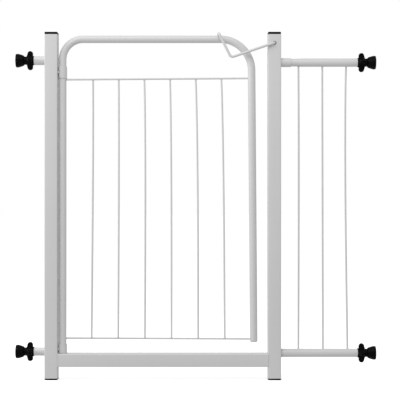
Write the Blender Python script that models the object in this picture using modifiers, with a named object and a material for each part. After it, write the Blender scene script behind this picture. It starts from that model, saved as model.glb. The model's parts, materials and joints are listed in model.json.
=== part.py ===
"""Pressure-fit pet gate: two posts on a bottom rail, a swinging wire door with a drop-over latch,
a plug-in extension panel and four screw-out wall feet.

Metres, +Z up, the gate's front faces -Y. The origin is on the floor under the middle of the gate.
"""

import math

import bmesh
import bpy
from mathutils import Matrix, Vector

# ---- Overall sizes -------------------------------------------------------------------------------
GATE_HEIGHT = 0.796  # floor to the top of the post caps
POST_GAP = 0.481  # clear width between the two posts
LEFT_STUB_LENGTH = 0.025
EXTENSION_LENGTH = 0.176  # right post to the end of the extension tubes

# ---- Square tube frame ---------------------------------------------------------------------------
POST_SIDE = 0.030
POST_WALL = 0.0012
POST_CORNER = 0.0022
RAIL_BOTTOM = 0.0301  # floor to the underside of the bottom rail
CAP_FLANGE = 0.005  # part of a top cap that shows
BOTTOM_CAP_FLANGE = 0.0034
CAP_PLUG = 0.011
CAP_BEVEL = 0.0011
CAP_INSET = 0.0003  # how far a cap's flange stands inside the post's faces

# ---- Round tube ----------------------------------------------------------------------------------
TUBE_OD = 0.01905  # lower left stub and extension tubes
TUBE_WALL = 0.0012
SOCKET_WALL = 0.0010  # upper left stub and right post sockets
NECK_REDUCTION = 0.00145  # how much the extension tubes' reduced ends lose in diameter
NECK_CLEARANCE = 0.00035  # all round, between a reduced end and its socket
UPPER_NECK_SHOWN = 0.019  # reduced length that stays outside the upper socket
UPPER_SOCKET_LENGTH = 0.0234
LOWER_SOCKET_LENGTH = 0.0019
NECK_INSERTION = 0.022
SHOULDER = 0.003  # length of the taper from tube to neck

# ---- Heights of the four wall feet, from the nearer end of the posts ------------------------------
LEFT_UPPER_DROP = 0.0645
RIGHT_UPPER_DROP = 0.0690
LEFT_LOWER_HEIGHT = 0.0639
RIGHT_LOWER_HEIGHT = 0.0609

# ---- Door ----------------------------------------------------------------------------------------
DOOR_TUBE_OD = 0.0172
DOOR_TUBE_WALL = 0.0012
DOOR_TOP_DROP = 0.0155  # top of the gate to the middle of the door's top tube
HINGE_BEND = 0.0465  # bend radii are to the tube's middle line
FREE_BEND = 0.0717
FREE_LEG_GAP = 0.0375  # right post to the middle of the free leg, at the top tube's height
FREE_LEG_SPLAY = 0.0078  # sideways run of the free leg per unit of its height
FREE_LEG_LIFT = 0.0256  # bottom rail to the tip of the free leg
TIP_HEIGHT = 0.004
TIP_PLUG = 0.012
GLIDE_FLANGE = 0.0018
GLIDE_PLUG = 0.010

# ---- Hinge sleeves -------------------------------------------------------------------------------
SLEEVE_WALL = 0.0010
SLEEVE_CLEARANCE = 0.0004
SLEEVE_POST_GAP = 0.0004
UPPER_SLEEVE_DROP = 0.0784  # top of the gate to the top of the upper sleeve
UPPER_SLEEVE_LENGTH = 0.027
LOWER_SLEEVE_LENGTH = 0.0207
WELD_RADIUS = 0.0015
WELD_LENGTH = 0.006

# ---- Door wires ----------------------------------------------------------------------------------
WIRE_OD = 0.0042
DOOR_WIRES = 6
DOOR_WIRE_PITCH_TOP = 0.0589
DOOR_WIRE_PITCH_BOTTOM = 0.0611
TOP_WIRE_BELOW_SLEEVE = 0.0026  # underside of the upper sleeve to the middle of the door's top wire
TOP_WIRE_RISE = 0.0030  # how much higher the top wire meets the free leg than the hinge leg
BOTTOM_WIRE_HEIGHT = 0.0348  # above the bottom rail
BOTTOM_WIRE_RISE = -0.0018

# ---- Extension wires -----------------------------------------------------------------------------
EXTENSION_WIRES = 3
EXTENSION_WIRE_START = 0.0405  # right post to the first wire
EXTENSION_WIRE_PITCH_TOP = 0.0547
EXTENSION_WIRE_PITCH_BOTTOM = 0.0562

# ---- Latch ---------------------------------------------------------------------------------------
LATCH_OD = 0.0060
LATCH_PIVOT_DROP = 0.0252  # top of the gate to the pivot hole
LATCH_HOLE_PLAY = 0.0015  # all round the stem
LATCH_ARM = 0.1055  # pivot to the corner between the two arms
LATCH_ARM_SLOPE = math.radians(18.8)  # the long arm falls this much towards the door
LATCH_HOOK_LEAN = math.radians(26.5)  # the short arm leans this much from upright
LATCH_POST_GAP = 0.0006
LATCH_TUBE_GAP = 0.0003  # above the door tube
LATCH_BACK_GAP = 0.0024  # behind the door tube
LATCH_TAIL = 0.012
LATCH_CORNER_BEND = 0.008
LATCH_STEM_BEND = 0.005
LATCH_HOOK_BEND = 0.006
LATCH_STEM_SHOWN = 0.0045  # stem standing out behind the post
WASHER_RIM = 0.00325
WASHER_THICKNESS = 0.0012

# ---- Wall feet -----------------------------------------------------------------------------------
SCREW_OD = 0.010
SCREW_LENGTH = 0.0685
SCREW_CLEARANCE = 0.00035
FLANGE_LIP = 0.00065  # how far an insert's flange stands out past a socket-sized tube
FLANGE_THICKNESS = 0.0018
INSERT_PLUG = 0.014
KNOB_HUB_OD = 0.0193
KNOB_LOBE_SPAN = 0.0438  # tip to tip
KNOB_LOBE_END = 0.0127  # a lobe's rounded end, along the screw
KNOB_LOBE_BACK = 0.0002  # the lobe's rounded end starts this far from the flange
KNOB_LOBE_BASE = 0.0146  # a lobe's root on the hub, along the screw
KNOB_LOBE_THICKNESS = 0.0076
KNOB_LENGTH = 0.0198
KNOB_PLATES = 2
FOOT_LENGTH = 0.0171
FOOT_BACK_OD = 0.0208
FOOT_FACE_OD = 0.0312
FOOT_SHOULDER = 0.0008
FOOT_LIP = 0.0036  # straight rim at the foot's face
FOOT_FLARE = 0.65  # below 1, the foot widens most near its back
FOOT_BORE_DEPTH = 0.0092
PAD_THICKNESS = 0.0015
PAD_INSET = 0.0004

# ---- Fits ----------------------------------------------------------------------------------------
GAP = 0.0003  # between pieces that touch, are welded or are pressed together

# ---- Mesh fineness -------------------------------------------------------------------------------
ROUND_STEPS = 24
WIRE_RESOLUTION = 2
ROD_RESOLUTION = 4
TUBE_RESOLUTION = 6
BEND_STEP = math.radians(11.25)

# ---- Places worked out from the sizes ------------------------------------------------------------
FOOT_REACH = FLANGE_THICKNESS + KNOB_LENGTH + FOOT_LENGTH + PAD_THICKNESS + 4 * GAP
OVERALL_WIDTH = 2 * FOOT_REACH + LEFT_STUB_LENGTH + 2 * POST_SIDE + POST_GAP + EXTENSION_LENGTH
LEFT_TUBE_END = -OVERALL_WIDTH / 2 + FOOT_REACH
RIGHT_TUBE_END = OVERALL_WIDTH / 2 - FOOT_REACH
LEFT_POST_X = LEFT_TUBE_END + LEFT_STUB_LENGTH + POST_SIDE / 2
RIGHT_POST_X = LEFT_POST_X + POST_SIDE + POST_GAP
LEFT_POST_INNER = LEFT_POST_X + POST_SIDE / 2
RIGHT_POST_INNER = RIGHT_POST_X - POST_SIDE / 2
RIGHT_POST_OUTER = RIGHT_POST_X + POST_SIDE / 2
RAIL_TOP = RAIL_BOTTOM + POST_SIDE
LEFT_UPPER_Z = GATE_HEIGHT - LEFT_UPPER_DROP
RIGHT_UPPER_Z = GATE_HEIGHT - RIGHT_UPPER_DROP
NECK_OD = TUBE_OD - NECK_REDUCTION
SOCKET_OD = NECK_OD + 2 * (NECK_CLEARANCE + SOCKET_WALL)
FLANGE_OD = SOCKET_OD + 2 * FLANGE_LIP
SLEEVE_OD = DOOR_TUBE_OD + 2 * (SLEEVE_CLEARANCE + SLEEVE_WALL)
HINGE_X = LEFT_POST_INNER + SLEEVE_POST_GAP + SLEEVE_OD / 2
DOOR_TOP_Z = GATE_HEIGHT - DOOR_TOP_DROP
HINGE_LEG_BOTTOM = RAIL_TOP + GLIDE_FLANGE + 2 * GAP
FREE_LEG_BOTTOM = RAIL_TOP + FREE_LEG_LIFT + TIP_HEIGHT
UPPER_SLEEVE_TOP = GATE_HEIGHT - UPPER_SLEEVE_DROP
TOP_WIRE_Z = UPPER_SLEEVE_TOP - UPPER_SLEEVE_LENGTH - TOP_WIRE_BELOW_SLEEVE
BOTTOM_WIRE_Z = RAIL_TOP + BOTTOM_WIRE_HEIGHT
SPLAY_ANGLE = math.atan(FREE_LEG_SPLAY)
SCREW_BORE = SCREW_OD / 2 + SCREW_CLEARANCE


def free_leg_x(height):
    """Middle of the free leg at a height: the leg splays outwards towards its tip."""
    return RIGHT_POST_INNER - FREE_LEG_GAP + (DOOR_TOP_Z - height) * FREE_LEG_SPLAY


# ---- Scene helpers -------------------------------------------------------------------------------
def clear_scene():
    for obj in list(bpy.data.objects):
        bpy.data.objects.remove(obj)


def add_collection(name):
    collection = bpy.data.collections.new(name)
    bpy.context.scene.collection.children.link(collection)
    return collection


def add_material(name, colour, roughness, metallic=0.0):
    material = bpy.data.materials.new(name)
    material.use_nodes = True
    shader = material.node_tree.nodes["Principled BSDF"]
    shader.inputs["Base Color"].default_value = (*colour, 1.0)
    shader.inputs["Roughness"].default_value = roughness
    shader.inputs["Metallic"].default_value = metallic
    return material


def add_pivot(name, place, parent=None, turn=(0.0, 0.0, 0.0)):
    """An empty on a joint's axis: what moves about that axis is parented to it."""
    pivot = bpy.data.objects.new(name, None)
    pivot.empty_display_size = 0.02
    pivot.location = place
    pivot.rotation_euler = turn
    pivot.parent = parent
    PARTS.objects.link(pivot)
    return pivot


def place_object(obj, material, parent, place=(0, 0, 0), turn=(0, 0, 0)):
    obj.data.materials.clear()
    obj.data.materials.append(material)
    obj.parent = parent
    obj.location = place
    obj.rotation_euler = turn
    PARTS.objects.link(obj)
    return obj


def mesh_object(name, bm):
    mesh = bpy.data.meshes.new(name)
    bmesh.ops.recalc_face_normals(bm, faces=bm.faces)
    bm.to_mesh(mesh)
    bm.free()
    return bpy.data.objects.new(name, mesh)


def smooth(obj):
    obj.data.shade_smooth()
    obj.data.set_sharp_from_angle(angle=math.radians(35))


def add_cutter(name, bm, matrix):
    cutter = mesh_object(name, bm)
    cutter.matrix_world = matrix
    cutter.hide_render = True
    cutter.display_type = "WIRE"
    CUTTERS.objects.link(cutter)
    return cutter


def boolean(obj, other, operation):
    modifier = obj.modifiers.new(other.name, "BOOLEAN")
    modifier.operation = operation
    modifier.object = other


# ---- Shape helpers -------------------------------------------------------------------------------
def turned(name, profile):
    """A closed profile of (radius, height) points, turned about local Z. The profile runs down its
    outer side, top to bottom; points on the axis close a solid piece."""
    mesh = bpy.data.meshes.new(name)
    count = len(profile)
    on_axis = profile[0][0] == 0 and profile[-1][0] == 0
    edges = [(i, i + 1) for i in range(count - 1)]
    if not on_axis:
        edges.append((count - 1, 0))
    mesh.from_pydata([(r, 0.0, z) for r, z in profile], edges, [])
    obj = bpy.data.objects.new(name, mesh)
    screw = obj.modifiers.new("Turn", "SCREW")
    screw.axis = "Z"
    screw.steps = screw.render_steps = ROUND_STEPS
    screw.use_merge_vertices = True
    screw.merge_threshold = 0.00001
    screw.use_smooth_shade = True
    return obj


def ring_profile(outer, inner, low, high):
    return [(outer, high), (outer, low), (inner, low), (inner, high)]


def square_tube(name, length):
    """Hollow square tube along local Z, centred, with rounded long edges and open ends."""
    bm = bmesh.new()
    bmesh.ops.create_cube(bm, size=1.0)
    bmesh.ops.scale(bm, vec=(POST_SIDE, POST_SIDE, length), verts=bm.verts)
    ends = [face for face in bm.faces if abs(face.normal.z) > 0.5]
    bmesh.ops.delete(bm, geom=ends, context="FACES_ONLY")
    upright = [e for e in bm.edges if abs(e.verts[0].co.z - e.verts[1].co.z) > length / 2]
    bmesh.ops.bevel(bm, geom=upright, offset=POST_CORNER, segments=3, profile=0.5, affect="EDGES")
    obj = mesh_object(name, bm)
    shell = obj.modifiers.new("Wall", "SOLIDIFY")
    shell.thickness = POST_WALL
    shell.offset = -1.0
    shell.use_even_offset = True
    smooth(obj)
    return obj


def rounded_path(corners, radii):
    """The corner points joined by straight runs, each inner corner rounded to its own radius."""
    points = [Vector(corners[0])]
    for before, corner, after, radius in zip(corners, corners[1:], corners[2:], radii):
        corner = Vector(corner)
        back = (Vector(before) - corner).normalized()
        ahead = (Vector(after) - corner).normalized()
        opening = back.angle(ahead)
        turn = math.pi - opening
        centre = corner + (back + ahead).normalized() * radius / math.sin(opening / 2)
        start = corner + back * radius / math.tan(opening / 2) - centre
        axis = back.cross(ahead).normalized()
        steps = max(2, math.ceil(turn / BEND_STEP))
        for i in range(steps + 1):
            points.append(centre + Matrix.Rotation(-turn * i / steps, 3, axis) @ start)
    points.append(Vector(corners[-1]))
    return points


def rod(name, points, radius, resolution, caps=True):
    """A round rod or wire along the points, as a curve."""
    curve = bpy.data.curves.new(name, "CURVE")
    curve.dimensions = "3D"
    spline = curve.splines.new("POLY")
    spline.points.add(len(points) - 1)
    for point, place in zip(spline.points, points):
        point.co = (*place, 1.0)
    spline.use_smooth = True
    curve.bevel_depth = radius
    curve.bevel_resolution = resolution
    curve.use_fill_caps = caps
    return bpy.data.objects.new(name, curve)


def as_mesh(obj):
    """The curve object made a mesh, its loose caps welded on."""
    scene = bpy.context.scene
    scene.collection.objects.link(obj)
    bpy.context.view_layer.update()
    mesh = bpy.data.meshes.new_from_object(obj.evaluated_get(bpy.context.evaluated_depsgraph_get()))
    bm = bmesh.new()
    bm.from_mesh(mesh)
    bmesh.ops.remove_doubles(bm, verts=bm.verts, dist=0.00001)
    bm.to_mesh(mesh)
    bm.free()
    name, matrix = obj.name, obj.matrix_world.copy()
    bpy.data.objects.remove(obj)
    made = bpy.data.objects.new(name, mesh)
    made.matrix_world = matrix
    return made


def drill(obj, name, radius, place, axis, depth):
    """Cuts a round hole, given in world space, along X or Y."""
    bm = bmesh.new()
    bmesh.ops.create_cone(bm, cap_ends=True, segments=ROUND_STEPS, radius1=radius, radius2=radius,
                          depth=depth)
    turn = Matrix.Rotation(math.pi / 2, 4, "Y" if axis == "X" else "X")
    boolean(obj, add_cutter(name, bm, Matrix.Translation(place) @ turn), "DIFFERENCE")


# ---- Frame ---------------------------------------------------------------------------------------
def build_post(name, x):
    bottom, top = BOTTOM_CAP_FLANGE + GAP, GATE_HEIGHT - CAP_FLANGE - GAP
    place = (x, 0, (bottom + top) / 2)
    return place_object(square_tube(name, top - bottom), PAINT, FRAME, place)


def build_posts():
    wall_cut = 4 * POST_WALL
    left = build_post("left_post", LEFT_POST_X)
    for label, z in (("upper", LEFT_UPPER_Z), ("lower", LEFT_LOWER_HEIGHT)):
        place = (LEFT_POST_X - POST_SIDE / 2, 0, z)
        drill(left, f"left_{label}_screw_hole", SCREW_BORE + SCREW_CLEARANCE, place, "X", wall_cut)
    right = build_post("right_post", RIGHT_POST_X)
    place = (RIGHT_POST_OUTER, 0, RIGHT_LOWER_HEIGHT)
    drill(right, "right_lower_spigot_hole", SOCKET_OD / 2 - SOCKET_WALL, place, "X", wall_cut)
    place = (RIGHT_POST_X, 0, GATE_HEIGHT - LATCH_PIVOT_DROP)
    drill(right, "latch_hole", LATCH_OD / 2 + LATCH_HOLE_PLAY, place, "Y", 2 * POST_SIDE)


def build_rail():
    length = POST_GAP - 2 * GAP
    centre = ((LEFT_POST_INNER + RIGHT_POST_INNER) / 2, 0, RAIL_BOTTOM + POST_SIDE / 2)
    place_object(square_tube("bottom_rail", length), PAINT, FRAME, centre, (0, math.pi / 2, 0))


def build_cap(name, x, z, flange, turn):
    """A square cap: flange over the tube's end, plug inside it. Local +Z points out of the post."""
    side = POST_SIDE - 2 * CAP_INSET
    plug_side = POST_SIDE - 2 * (POST_WALL + GAP)
    bm = bmesh.new()
    bmesh.ops.create_cube(bm, size=1.0)
    bmesh.ops.scale(bm, vec=(side, side, flange), verts=bm.verts)
    bmesh.ops.translate(bm, vec=(0, 0, flange / 2), verts=bm.verts)
    upright = [e for e in bm.edges if abs(e.verts[0].co.z - e.verts[1].co.z) > flange / 2]
    bmesh.ops.bevel(bm, geom=upright, offset=POST_CORNER, segments=3, profile=0.5, affect="EDGES")
    rim = [e for e in bm.edges if min(v.co.z for v in e.verts) > flange / 2]
    bmesh.ops.bevel(bm, geom=rim, offset=CAP_BEVEL, segments=2, profile=0.5, affect="EDGES")
    bm.normal_update()
    under = [face for face in bm.faces if face.normal.z < -0.5]
    bmesh.ops.inset_region(bm, faces=under, thickness=(side - plug_side) / 2)
    pushed = bmesh.ops.extrude_face_region(bm, geom=under)
    bmesh.ops.delete(bm, geom=under, context="FACES")
    moved = [v for v in pushed["geom"] if isinstance(v, bmesh.types.BMVert)]
    bmesh.ops.translate(bm, vec=(0, 0, -CAP_PLUG), verts=moved)
    cap = mesh_object(name, bm)
    smooth(cap)
    place_object(cap, PLASTIC, FRAME, (x, 0, z), turn)


def build_caps():
    for side, x in (("left", LEFT_POST_X), ("right", RIGHT_POST_X)):
        build_cap(f"{side}_post_top_cap", x, GATE_HEIGHT - CAP_FLANGE, CAP_FLANGE, (0, 0, 0))
        build_cap(f"{side}_post_bottom_cap", x, BOTTOM_CAP_FLANGE, BOTTOM_CAP_FLANGE, (math.pi, 0, 0))


def build_sleeve(name, bottom, length):
    """A hinge sleeve and the two small welds, front and back, that hold it to the post."""
    profile = ring_profile(SLEEVE_OD / 2, SLEEVE_OD / 2 - SLEEVE_WALL, 0, length)
    place_object(turned(name, profile), PAINT, FRAME, (HINGE_X, 0, bottom))
    weld_x = LEFT_POST_INNER + GAP + WELD_RADIUS
    reach = SLEEVE_OD / 2 + GAP + WELD_RADIUS
    weld_y = math.sqrt(reach**2 - (HINGE_X - weld_x) ** 2)
    middle = bottom + length / 2
    for label, y in (("front", -weld_y), ("back", weld_y)):
        half = WELD_LENGTH / 2
        profile = [(0, half), (WELD_RADIUS * 0.6, half), (WELD_RADIUS, half * 0.6)]
        profile += [(r, -z) for r, z in reversed(profile)]
        bead = turned(f"{name}_{label}_weld", profile)
        place_object(bead, PAINT, FRAME, (weld_x, y, middle))


def build_sleeves():
    build_sleeve("upper_sleeve", UPPER_SLEEVE_TOP - UPPER_SLEEVE_LENGTH, UPPER_SLEEVE_LENGTH)
    build_sleeve("lower_sleeve", RAIL_TOP + GAP, LOWER_SLEEVE_LENGTH)


def build_side_tube(name, outer, wall, start, length, z):
    """A round tube along +X from start."""
    tube = turned(name, ring_profile(outer / 2, outer / 2 - wall, 0, length))
    place_object(tube, PAINT, FRAME, (start, 0, z), (0, math.pi / 2, 0))


def build_stubs_and_sockets():
    stub = LEFT_STUB_LENGTH - GAP
    build_side_tube("left_upper_stub", SOCKET_OD, SOCKET_WALL, LEFT_TUBE_END, stub, LEFT_UPPER_Z)
    build_side_tube("left_lower_stub", TUBE_OD, TUBE_WALL, LEFT_TUBE_END, stub, LEFT_LOWER_HEIGHT)
    start = RIGHT_POST_OUTER + GAP
    build_side_tube("right_upper_socket", SOCKET_OD, SOCKET_WALL, start,
                    UPPER_SOCKET_LENGTH - GAP, RIGHT_UPPER_Z)
    build_side_tube("right_lower_collar", SOCKET_OD, SOCKET_WALL, start,
                    LOWER_SOCKET_LENGTH - GAP, RIGHT_LOWER_HEIGHT)


# ---- Door ----------------------------------------------------------------------------------------
def local(point, pivot):
    return Vector(point) - pivot.location


def build_door_tube(door):
    corners = [
        (HINGE_X, 0, HINGE_LEG_BOTTOM),
        (HINGE_X, 0, DOOR_TOP_Z),
        (free_leg_x(DOOR_TOP_Z), 0, DOOR_TOP_Z),
        (free_leg_x(FREE_LEG_BOTTOM), 0, FREE_LEG_BOTTOM),
    ]
    path = rounded_path([local(c, door) for c in corners], (HINGE_BEND, FREE_BEND))
    skin = rod("door_tube", path, DOOR_TUBE_OD / 2, TUBE_RESOLUTION, caps=False)
    tube = as_mesh(skin)
    wall = tube.modifiers.new("Wall", "SOLIDIFY")
    wall.thickness = DOOR_TUBE_WALL
    wall.offset = -1.0
    place_object(tube, PAINT, door)
    smooth(tube)


def build_door_ends(door):
    """The glide that the hinge leg stands on, and the rounded plug that closes the free leg."""
    outer = DOOR_TUBE_OD / 2
    plug = outer - DOOR_TUBE_WALL - GAP
    profile = [(0, GLIDE_PLUG), (plug, GLIDE_PLUG), (plug, 0), (outer, 0), (outer, -GLIDE_FLANGE),
               (0, -GLIDE_FLANGE)]
    foot = (HINGE_X, 0, HINGE_LEG_BOTTOM - GAP)
    place_object(turned("hinge_leg_glide", profile), PLASTIC, door, local(foot, door))
    rim = TIP_HEIGHT - GAP
    dome = [(outer * math.cos(a), -rim / 2 - rim / 2 * math.sin(a))
            for a in (math.radians(d) for d in (0, 25, 50, 72))]
    profile = [(0, TIP_PLUG), (plug, TIP_PLUG), (plug, 0), (outer, 0), *dome, (0, -rim)]
    tip = (free_leg_x(FREE_LEG_BOTTOM), 0, FREE_LEG_BOTTOM - GAP)
    place_object(turned("free_leg_tip", profile), PAINT, door, local(tip, door), (0, -SPLAY_ANGLE, 0))


def door_wire_ends(height, rise):
    """Where a cross wire starts on the hinge leg and stops on the free leg."""
    reach = DOOR_TUBE_OD / 2 + GAP
    return (HINGE_X + reach, 0, height), (free_leg_x(height + rise) - reach, 0, height + rise)


def build_door_wires(door):
    radius = WIRE_OD / 2
    levels = (("door_top_wire", TOP_WIRE_Z, TOP_WIRE_RISE, DOOR_WIRE_PITCH_TOP, -1),
              ("door_bottom_wire", BOTTOM_WIRE_Z, BOTTOM_WIRE_RISE, DOOR_WIRE_PITCH_BOTTOM, 1))
    feet = []
    for name, height, rise, pitch, inward in levels:
        start, stop = (Vector(p) for p in door_wire_ends(height, rise))
        wire = rod(name, [local(start, door), local(stop, door)], radius, WIRE_RESOLUTION)
        place_object(wire, PAINT, door)
        middle = (HINGE_X + free_leg_x(height)) / 2
        row = []
        for i in range(DOOR_WIRES):
            x = middle + (i - (DOOR_WIRES - 1) / 2) * pitch
            share = (x - start.x) / (stop.x - start.x)
            row.append((x, 0, height + rise * share + inward * (radius + GAP)))
        feet.append(row)
    for i, (top, bottom) in enumerate(zip(*feet), 1):
        ends = [local(top, door), local(bottom, door)]
        place_object(rod(f"door_wire_{i}", ends, radius, WIRE_RESOLUTION), PAINT, door)


def build_door():
    door = add_pivot("door_pivot", (HINGE_X, 0, RAIL_TOP), FRAME)
    build_door_tube(door)
    build_door_ends(door)
    build_door_wires(door)


# ---- Latch ---------------------------------------------------------------------------------------
def latch_path():
    """Stem through the post, long arm, short arm, over the door tube and down behind it."""
    radius = LATCH_OD / 2
    pivot_z = GATE_HEIGHT - LATCH_PIVOT_DROP
    arm_y = -POST_SIDE / 2 - LATCH_POST_GAP - radius
    back_y = DOOR_TUBE_OD / 2 + LATCH_BACK_GAP + radius
    stem_end = (RIGHT_POST_X, POST_SIDE / 2 + LATCH_STEM_SHOWN, pivot_z)
    stem_start = Vector((RIGHT_POST_X, arm_y, pivot_z))
    along = Vector((-math.cos(LATCH_ARM_SLOPE), 0, -math.sin(LATCH_ARM_SLOPE)))
    corner = stem_start + along * LATCH_ARM
    lean = Vector((-math.sin(LATCH_HOOK_LEAN), 0, math.cos(LATCH_HOOK_LEAN)))
    top_z = DOOR_TOP_Z + DOOR_TUBE_OD / 2 + LATCH_TUBE_GAP + radius
    over_front = corner + lean * ((top_z - corner.z) / lean.z)
    over_back = Vector((over_front.x, back_y, over_front.z))
    tail = over_back - lean * LATCH_TAIL
    return [stem_end, stem_start, corner, over_front, over_back, tail]


def build_latch():
    pivot = add_pivot("latch_pivot", (RIGHT_POST_X, 0, GATE_HEIGHT - LATCH_PIVOT_DROP), FRAME)
    bends = (LATCH_STEM_BEND, LATCH_CORNER_BEND, LATCH_HOOK_BEND, LATCH_HOOK_BEND)
    path = rounded_path([local(p, pivot) for p in latch_path()], bends)
    place_object(rod("latch_rod", path, LATCH_OD / 2, ROD_RESOLUTION), PAINT, pivot)
    bore = LATCH_OD / 2 + GAP
    profile = ring_profile(LATCH_OD / 2 + WASHER_RIM, bore, 0, WASHER_THICKNESS)
    washer = turned("latch_washer", profile)
    back = POST_SIDE / 2 + GAP
    place_object(washer, STEEL, pivot, (0, back + WASHER_THICKNESS, 0), (math.pi / 2, 0, 0))


# ---- Extension panel -----------------------------------------------------------------------------
def extension_tube(name, neck_end, shoulder, z, panel):
    """A tube along +X whose inner end is reduced to slide into its socket."""
    outer, neck = TUBE_OD / 2, NECK_OD / 2
    length = RIGHT_TUBE_END - neck_end
    step = shoulder - neck_end
    profile = [(outer, length), (outer, step + SHOULDER), (neck, step), (neck, 0),
               (neck - TUBE_WALL, 0), (neck - TUBE_WALL, step), (outer - TUBE_WALL, step + SHOULDER),
               (outer - TUBE_WALL, length)]
    place = local((neck_end, 0, z), panel)
    place_object(turned(name, profile), PAINT, panel, place, (0, math.pi / 2, 0))


def build_extension():
    panel = add_pivot("extension_slide", (RIGHT_POST_OUTER, 0, RIGHT_LOWER_HEIGHT), FRAME)
    upper_mouth = RIGHT_POST_OUTER + UPPER_SOCKET_LENGTH
    lower_mouth = RIGHT_POST_OUTER + LOWER_SOCKET_LENGTH
    extension_tube("extension_upper_tube", upper_mouth - NECK_INSERTION,
                   upper_mouth + UPPER_NECK_SHOWN, RIGHT_UPPER_Z, panel)
    extension_tube("extension_lower_tube", lower_mouth - NECK_INSERTION, lower_mouth + GAP,
                   RIGHT_LOWER_HEIGHT, panel)
    reach = TUBE_OD / 2 + GAP
    for i in range(EXTENSION_WIRES):
        start = RIGHT_POST_OUTER + EXTENSION_WIRE_START
        top = (start + i * EXTENSION_WIRE_PITCH_TOP, 0, RIGHT_UPPER_Z - reach)
        bottom = (start + i * EXTENSION_WIRE_PITCH_BOTTOM, 0, RIGHT_LOWER_HEIGHT + reach)
        wire = rod(f"extension_wire_{i + 1}", [local(top, panel), local(bottom, panel)],
                   WIRE_OD / 2, WIRE_RESOLUTION)
        place_object(wire, PAINT, panel)
    return panel


# ---- Wall feet -----------------------------------------------------------------------------------
def lobe_plate(name):
    """Two opposite lobes of the knob as one flat outline: local X outwards, local Y along the screw."""
    radius = KNOB_LOBE_END / 2
    reach = KNOB_LOBE_SPAN / 2 - radius
    middle = KNOB_LOBE_BACK + radius
    turns = [math.radians(a) for a in range(-90, 91, 30)]
    lobe = [(KNOB_HUB_OD / 2, 0.0)]
    lobe += [(reach + radius * math.cos(a), middle + radius * math.sin(a)) for a in turns]
    lobe.append((KNOB_HUB_OD / 2, KNOB_LOBE_BASE))
    outline = lobe + [(-x, y) for x, y in reversed(lobe)]
    curve = bpy.data.curves.new(name, "CURVE")
    curve.dimensions = "2D"
    curve.fill_mode = "BOTH"
    curve.extrude = KNOB_LOBE_THICKNESS / 2
    spline = curve.splines.new("POLY")
    spline.use_cyclic_u = True
    spline.points.add(len(outline) - 1)
    for point, (x, y) in zip(spline.points, outline):
        point.co = (x, y, 0.0, 1.0)
    return as_mesh(bpy.data.objects.new(name, curve))


def build_knob(name, base, pivot):
    """A hub with crossed lobe plates, bored through. Local +Z points away from the gate."""
    hub = bmesh.new()
    bmesh.ops.create_cone(hub, cap_ends=True, segments=ROUND_STEPS, radius1=KNOB_HUB_OD / 2,
                          radius2=KNOB_HUB_OD / 2, depth=KNOB_LENGTH)
    bmesh.ops.translate(hub, vec=(0, 0, KNOB_LENGTH / 2), verts=hub.verts)
    knob = place_object(mesh_object(name, hub), PLASTIC, pivot, (0, 0, base))
    for i in range(KNOB_PLATES):
        plate = lobe_plate(f"{name}_lobes_{i + 1}")
        plate.hide_render = True
        plate.display_type = "WIRE"
        CUTTERS.objects.link(plate)
        plate.parent = knob
        turn = Matrix.Rotation(math.pi * i / KNOB_PLATES, 4, "Z")
        plate.matrix_local = turn @ Matrix.Rotation(math.pi / 2, 4, "X")
        boolean(knob, plate, "UNION")
    bore = bmesh.new()
    bmesh.ops.create_cone(bore, cap_ends=True, segments=ROUND_STEPS, radius1=SCREW_BORE,
                          radius2=SCREW_BORE, depth=3 * KNOB_LENGTH)
    cutter = add_cutter(f"{name}_bore", bore, Matrix())
    cutter.parent = knob
    boolean(knob, cutter, "DIFFERENCE")


def foot_profile():
    """Flared foot, hollow at the back for the screw, open at the face for the pad's stem."""
    back, face = FOOT_BACK_OD / 2, FOOT_FACE_OD / 2
    flare_start = FOOT_SHOULDER
    flare = []
    steps = 5
    for i in range(steps + 1):
        share = i / steps
        flare.append((back + (face - back) * share**FOOT_FLARE,
                      flare_start + (FOOT_LENGTH - FOOT_LIP - flare_start) * share))
    flare.append((face, FOOT_LENGTH))
    outer = [(SCREW_BORE, 0), (back - FOOT_SHOULDER, 0), *flare]
    inner = [(0, FOOT_LENGTH), (0, FOOT_BORE_DEPTH), (SCREW_BORE, FOOT_BORE_DEPTH)]
    solid = outer + inner
    first = solid.index(inner[0])
    return list(reversed(solid[first + 1:] + solid[:first + 1]))


def build_wall_foot(label, end_x, z, outward, bore, parent):
    """Insert, knob, screw, foot and pad on one tube end. Outward is -1 on the left, 1 on the right."""
    turn = (0, outward * math.pi / 2, 0)
    pivot = add_pivot(f"{label}_screw_axis", local((end_x, 0, z), parent), parent, turn)
    plug = bore - GAP
    profile = [(FLANGE_OD / 2, FLANGE_THICKNESS + GAP), (FLANGE_OD / 2, GAP), (plug, GAP),
               (plug, -INSERT_PLUG), (SCREW_BORE, -INSERT_PLUG), (SCREW_BORE, FLANGE_THICKNESS + GAP)]
    place_object(turned(f"{label}_insert", profile), PLASTIC, pivot)
    knob_base = FLANGE_THICKNESS + 2 * GAP
    build_knob(f"{label}_knob", knob_base, pivot)
    foot_base = knob_base + KNOB_LENGTH + GAP
    screw_tip = foot_base + FOOT_BORE_DEPTH - GAP
    radius = SCREW_OD / 2
    profile = [(0, screw_tip), (radius, screw_tip), (radius, screw_tip - SCREW_LENGTH),
               (0, screw_tip - SCREW_LENGTH)]
    place_object(turned(f"{label}_screw", profile), STEEL, pivot)
    place_object(turned(f"{label}_foot", foot_profile()), PLASTIC, pivot, (0, 0, foot_base))
    pad = FOOT_FACE_OD / 2 - PAD_INSET
    profile = [(0, PAD_THICKNESS), (pad - PAD_INSET, PAD_THICKNESS), (pad, PAD_THICKNESS - PAD_INSET),
               (pad, 0), (0, 0)]
    pad_base = foot_base + FOOT_LENGTH + GAP
    place_object(turned(f"{label}_pad", profile), RUBBER, pivot, (0, 0, pad_base))


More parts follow.
